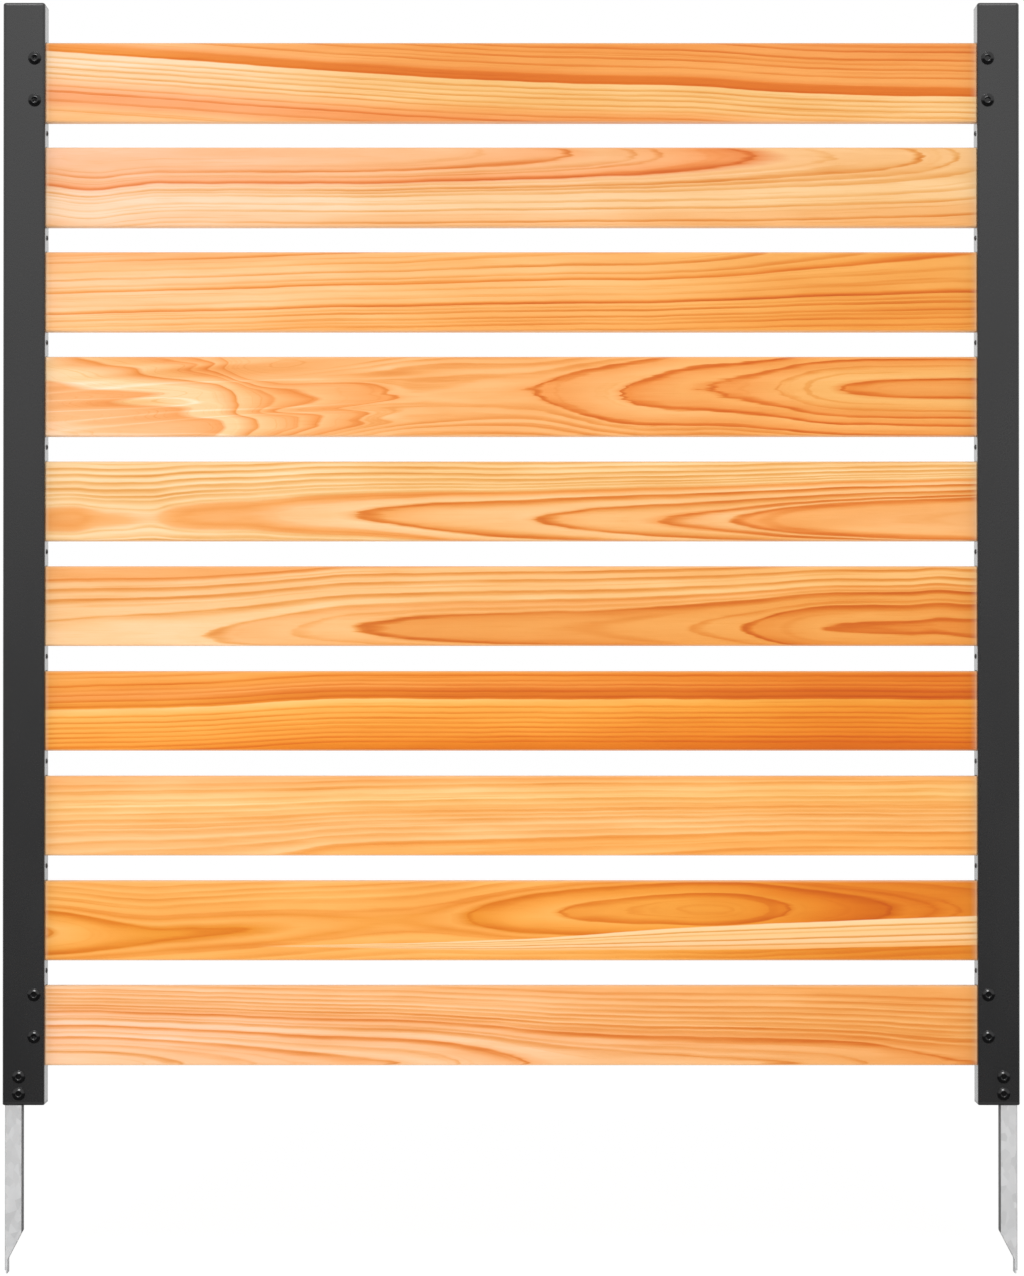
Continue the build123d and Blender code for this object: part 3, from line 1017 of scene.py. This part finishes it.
def head_profile():
    """Radius and height of the head from the flange's underside into the dish."""
    half = FLANGE_HEIGHT / 2
    edge = arc((FLANGE_RADIUS - half, half), half, 180, 0, FLANGE_STEPS)
    crown_slope = math.degrees(math.asin(CROWN_RADIUS / DOME_ROUND))
    foot_slope = math.degrees(math.asin(DOME_RADIUS / DOME_ROUND))
    ball = HEAD_HEIGHT - DOME_ROUND * math.cos(math.asin(CROWN_RADIUS / DOME_ROUND))
    dome = arc((0.0, ball), DOME_ROUND, foot_slope, crown_slope, DOME_STEPS)
    at_flange, at_dome = FOOT_WIDENING
    foot = [(DOME_RADIUS + at_flange, FLANGE_HEIGHT), (DOME_RADIUS + at_dome, dome[0][1] - FOOT_DROP)]
    dish = [(CROWN_RADIUS - inward, HEAD_HEIGHT - down) for inward, down in DISH_LIP]
    return [*edge, *foot, *dome, *dish, (RIM_RADIUS, HEAD_HEIGHT - DISH_DEPTH)]


print("head profile of", len(head_profile()), "points")

# %% [markdown]
# The profile, with the shank before it, is spun round the screw's axis. That leaves
# an open round rim in the dish. A hexagon is laid into it, the two loops are
# bridged, and the hexagon is pushed in and closed, which makes the key socket.
# Cutting the socket with a Boolean would also work, but leaves ragged faces.

# %% Screws: spinning one
SPIN_STEPS = 40
SOCKET_FLATS = 4.0
SOCKET_DEPTH = 1.5


def add_screw(bm, x, z, face, shank_radius, shank_length):
    """Add one screw whose flange sits on the face, pointing along +Y."""
    spot = Vector((x, face, z))
    profile = [(0.0, -shank_length), (shank_radius, -shank_length), (shank_radius, 0.0), *head_profile()]
    verts = [bm.verts.new(spot + Vector((radius * MM, -height * MM, 0))) for radius, height in profile]
    edges = [bm.edges.new(pair) for pair in zip(verts, verts[1:])]
    bmesh.ops.spin(
        bm, geom=verts + edges, cent=spot, axis=(0, 1, 0), angle=math.tau, steps=SPIN_STEPS,
        use_merge=True,
    )
    rim_centre = Vector((x, face - (HEAD_HEIGHT - DISH_DEPTH) * MM, z))
    rim = [
        edge for edge in bm.edges
        if edge.is_boundary and (edge.verts[0].co - rim_centre).length < CROWN_RADIUS * MM
    ]
    turned = Matrix.Translation(rim_centre) @ Matrix.Rotation(math.radians(90), 4, "X")
    corner = SOCKET_FLATS / math.sqrt(3) * MM
    ring = bmesh.ops.create_circle(bm, segments=6, radius=corner, matrix=turned)
    hexagon = list({edge for vert in ring["verts"] for edge in vert.link_edges})
    bmesh.ops.bridge_loops(bm, edges=rim + hexagon)
    step = bmesh.ops.extrude_edge_only(bm, edges=hexagon)
    moved = [item for item in step["geom"] if isinstance(item, bmesh.types.BMVert)]
    bmesh.ops.translate(bm, verts=moved, vec=(0, SOCKET_DEPTH * MM, 0))
    floor_edges = [edge for edge in step["geom"] if isinstance(edge, bmesh.types.BMEdge)]
    floor_edges = [edge for edge in floor_edges if all(vert in moved for vert in edge.verts)]
    bmesh.ops.edgeloop_fill(bm, edges=floor_edges)


print("a screw is spun in", SPIN_STEPS, "steps")

# %% [markdown]
# All screws of one kind are one piece. It rides on the panel's only body, gets
# the black finish and replaces the CAD node. The spun meshes are
# merged first and their normals recalculated after, because a spin can turn a
# shape inside out. The finish is a black coat, glossy enough for a bright spot.

# %% Screws: finish and places
MERGE_DISTANCE = 1e-6
SHARP_ANGLE = math.radians(40)
SCREW_PITCH = 0.040
SLAT_SHANK = 2.5
STAKE_SHANK = 1.95
BLACK_CLOUD_SIZE = (3, 3, 3)
BLACK_SPECK_SIZE = (0.5, 0.5, 0.5)
BLACK_ROUGH = 0.16
BLACK_SHINE = 0.3


def finish_piece(name, bm, finish):
    """Close a bmesh, make it a smooth piece of the panel and give it its finish."""
    bmesh.ops.remove_doubles(bm, verts=bm.verts, dist=MERGE_DISTANCE)
    bmesh.ops.recalc_face_normals(bm, faces=bm.faces)
    mesh = bpy.data.meshes.new(name)
    bm.to_mesh(mesh)
    bm.free()
    mesh.shade_smooth()
    mesh.set_sharp_from_angle(angle=SHARP_ANGLE)
    mesh.materials.append(finish)
    piece = bpy.data.objects.new(name, mesh)
    bpy.context.scene.collection.objects.link(piece)
    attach(piece, "root")
    print(name, len(mesh.polygons), "faces")
    return piece


def make_screws(name, node_name, heights, shank_radius, finish):
    """All screws of one kind on both posts, in place of the CAD node."""
    low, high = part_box(node_name)
    face = low.y + HEAD_HEIGHT * MM
    reach = high.x - FLANGE_RADIUS * MM
    shank_length = (high.y - face) / MM
    bm = bmesh.new()
    for x in (-reach, reach):
        for z in heights:
            add_screw(bm, x, z, face, shank_radius, shank_length)
    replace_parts(finish_piece(name, bm, finish), node_name)


def make_black():
    material, place, shader = new_material("black_screws")
    cloud = noise(place, BLACK_CLOUD_SIZE, 2)
    speck = noise(place, BLACK_SPECK_SIZE, 2)
    tint = blend(smooth(cloud, -0.5, 0.8), paint("070708"), paint("0E0E0F"))
    feed(shader, "Base Color", tint)
    shader.inputs["Specular IOR Level"].default_value = BLACK_SHINE
    feed(shader, "Roughness", cloud * 0.03 + speck * 0.02 + BLACK_ROUGH)
    feed(shader, "Normal", bump(speck, 0.06, 0.00005))
    return material


black = make_black()
slat_low, slat_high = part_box("slat_screws")
stake_low, stake_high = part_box("stake_screws")
flange = FLANGE_RADIUS * MM
slat_heights = [
    slat_high.z - flange, slat_high.z - flange - SCREW_PITCH,
    slat_low.z + flange + SCREW_PITCH, slat_low.z + flange,
]
stake_heights = [stake_high.z - flange, stake_low.z + flange]
make_screws("slat_screw_heads", "slat_screws", slat_heights, SLAT_SHANK, black)
make_screws("stake_screw_heads", "stake_screws", stake_heights, STAKE_SHANK, black)

# %% [markdown]
# Beside each gap the post's inner wall has a hole, dark with shade inside. A small
# black dome stands in for that shade: seen from the front only the low dome stands
# out, as a dark dot of painted shade against the pale sliver of the post. A stem and a domed head are
# again one spun profile, this time round the X axis, and one mesh holds all eighteen.

# %% Painted shade of the gap holes
SHADE_DOME_RADIUS = 2.5
SHADE_DOME_LIP = 0.4
SHADE_DOME_HEIGHT = 1.5
SHADE_DOME_STEPS = 5
STEM_RADIUS = 2.0
STEM_LENGTH = 3.0
SHADE_DOME_RISE = 0.002
SHADE_DOME_SPIN_STEPS = 24


def shade_dome_profile():
    """Radius and height of a shade dome from the end of its stem to the top of its head."""
    rise = SHADE_DOME_HEIGHT - SHADE_DOME_LIP
    ball = (SHADE_DOME_RADIUS ** 2 + rise ** 2) / (2 * rise)
    slope = math.degrees(math.asin(SHADE_DOME_RADIUS / ball))
    stem = [(0.0, -STEM_LENGTH), (STEM_RADIUS, -STEM_LENGTH), (STEM_RADIUS, 0.0), (SHADE_DOME_RADIUS, 0.0)]
    return [*stem, *arc((0.0, SHADE_DOME_HEIGHT - ball), ball, slope, 0, SHADE_DOME_STEPS)]


def add_shade_dome(bm, face, way, z):
    """Add one dark dome of painted shade to a post's inner face, which looks along X in the given way."""
    spot = Vector((face, 0, z))
    verts = [
        bm.verts.new(spot + Vector((way * height * MM, radius * MM, 0)))
        for radius, height in shade_dome_profile()
    ]
    edges = [bm.edges.new(pair) for pair in zip(verts, verts[1:])]
    bmesh.ops.spin(
        bm, geom=verts + edges, cent=spot, axis=(1, 0, 0), angle=math.tau, steps=SHADE_DOME_SPIN_STEPS,
        use_merge=True,
    )


# Black domes of painted shade, one beside each gap on each post, in the dark cap plastic.
shade_dome_bm = bmesh.new()
for number in range(1, len(SLATS)):
    gap_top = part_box(f"slat_{number:02d}")[0].z
    gap_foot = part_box(f"slat_{number + 1:02d}")[1].z
    shade_dome_height = (gap_top + gap_foot) / 2 + SHADE_DOME_RISE
    add_shade_dome(shade_dome_bm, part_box("left_post")[1].x, 1, shade_dome_height)
    add_shade_dome(shade_dome_bm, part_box("right_post")[0].x, -1, shade_dome_height)
finish_piece("hole_shade_domes", shade_dome_bm, cap_plastic)
